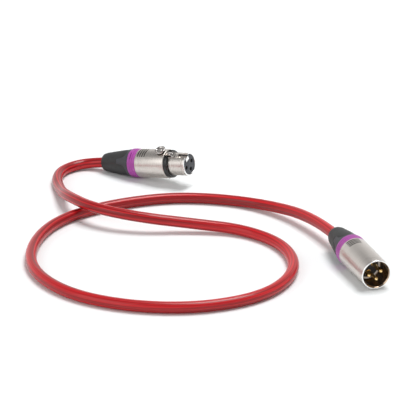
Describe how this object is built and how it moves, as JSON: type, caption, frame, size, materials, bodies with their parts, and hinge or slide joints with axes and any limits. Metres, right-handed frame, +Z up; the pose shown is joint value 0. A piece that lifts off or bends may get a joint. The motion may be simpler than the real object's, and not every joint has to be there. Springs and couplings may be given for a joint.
{
  "type": "xlr cable coil",
  "caption": "Balanced audio lead lying in an open, crossing loop, with a latching socket connector at one end and a plug connector with pins at the other.",
  "frame": {"origin": "on the floor, under the middle of the two connectors' joint box", "axes": "+Z is up from the floor; -Y points out of the plug's mouth along its axis; +X is to the right seen from behind the plug's mouth looking along +Y"},
  "size_m": [0.2069, 0.2717, 0.0271],
  "materials": {
    "jacket": "deep red glossy PVC",
    "nickel": "satin nickel-plated zinc",
    "coding_purple": "purple, finely ribbed",
    "bushing_grey": "hard blue-grey plastic",
    "boot_black": "black rubber",
    "carrier_black": "black moulded plastic",
    "collar_black": "black rubber",
    "gold": "gold plate, polished",
    "chrome_latch": "polished steel",
    "spring_steel": "spring steel",
    "chuck_white": "white nylon",
    "core_red": "insulation",
    "core_white": "insulation",
    "shield_copper": "twisted bare copper"
  },
  "bodies": {
    "lead": {"socket_shell": "nickel", "socket_contact_carrier": "carrier_black", "nose_collar": "collar_black", "socket_contact_1": "gold", "socket_contact_2": "gold", "socket_contact_3": "gold", "latch_spring": "spring_steel", "socket_cable_chuck": "chuck_white", "socket_shield_drain": "shield_copper", "socket_hot_core": "core_red", "socket_cold_core": "core_white", "cable_jacket": "jacket", "plug_shell": "nickel", "plug_contact_carrier": "carrier_black", "plug_pin_1": "gold", "plug_pin_2": "gold", "plug_pin_3": "gold", "plug_cable_chuck": "chuck_white", "plug_shield_drain": "shield_copper", "plug_hot_core": "core_red", "plug_cold_core": "core_white"},
    "latch": {"latch_lever": "chrome_latch"},
    "socket_ring": {"socket_coding_ring": "coding_purple"},
    "socket_clamp": {"socket_bushing": "bushing_grey", "socket_boot": "boot_black"},
    "plug_ring": {"plug_coding_ring": "coding_purple"},
    "plug_clamp": {"plug_bushing": "bushing_grey", "plug_boot": "boot_black"}
  },
  "joints": [
    {"name": "latch_press", "type": "hinge", "parent": "lead", "child": "latch", "pos_m": [-0.0303, 0.09536, 0.01997], "axis": [0.6498, 0.664, 0.37], "range_deg": [0, 5], "stiffness_Nm_per_rad": 0.2, "springref_deg": -3.44, "deforming": ["latch_spring"]},
    {"name": "socket_ring_slide", "type": "slide", "parent": "lead", "child": "socket_ring", "axis": [-0.6609, 0.734, -0.1564], "range_m": [0, 0.003]},
    {"name": "socket_bushing_turn", "type": "hinge", "parent": "socket_ring", "child": "socket_clamp", "pos_m": [-0.04193, 0.11281, 0.00908], "axis": [-0.6609, 0.734, -0.1564], "range_deg": [0, 1081]},
    {"name": "plug_ring_slide", "type": "slide", "parent": "lead", "child": "plug_ring", "axis": [0, 1, 0], "range_m": [0, 0.003]},
    {"name": "plug_bushing_turn", "type": "hinge", "parent": "plug_ring", "child": "plug_clamp", "pos_m": [0.048, -0.082, 0.0101], "axis": [0, 1, 0], "range_deg": [0, 1081]}
  ],
  "couplings": [
    {"joint": "socket_bushing_turn", "follows": "socket_ring_slide", "rad_per_m": 6283.2},
    {"joint": "plug_bushing_turn", "follows": "plug_ring_slide", "rad_per_m": 6283.2}
  ]
}
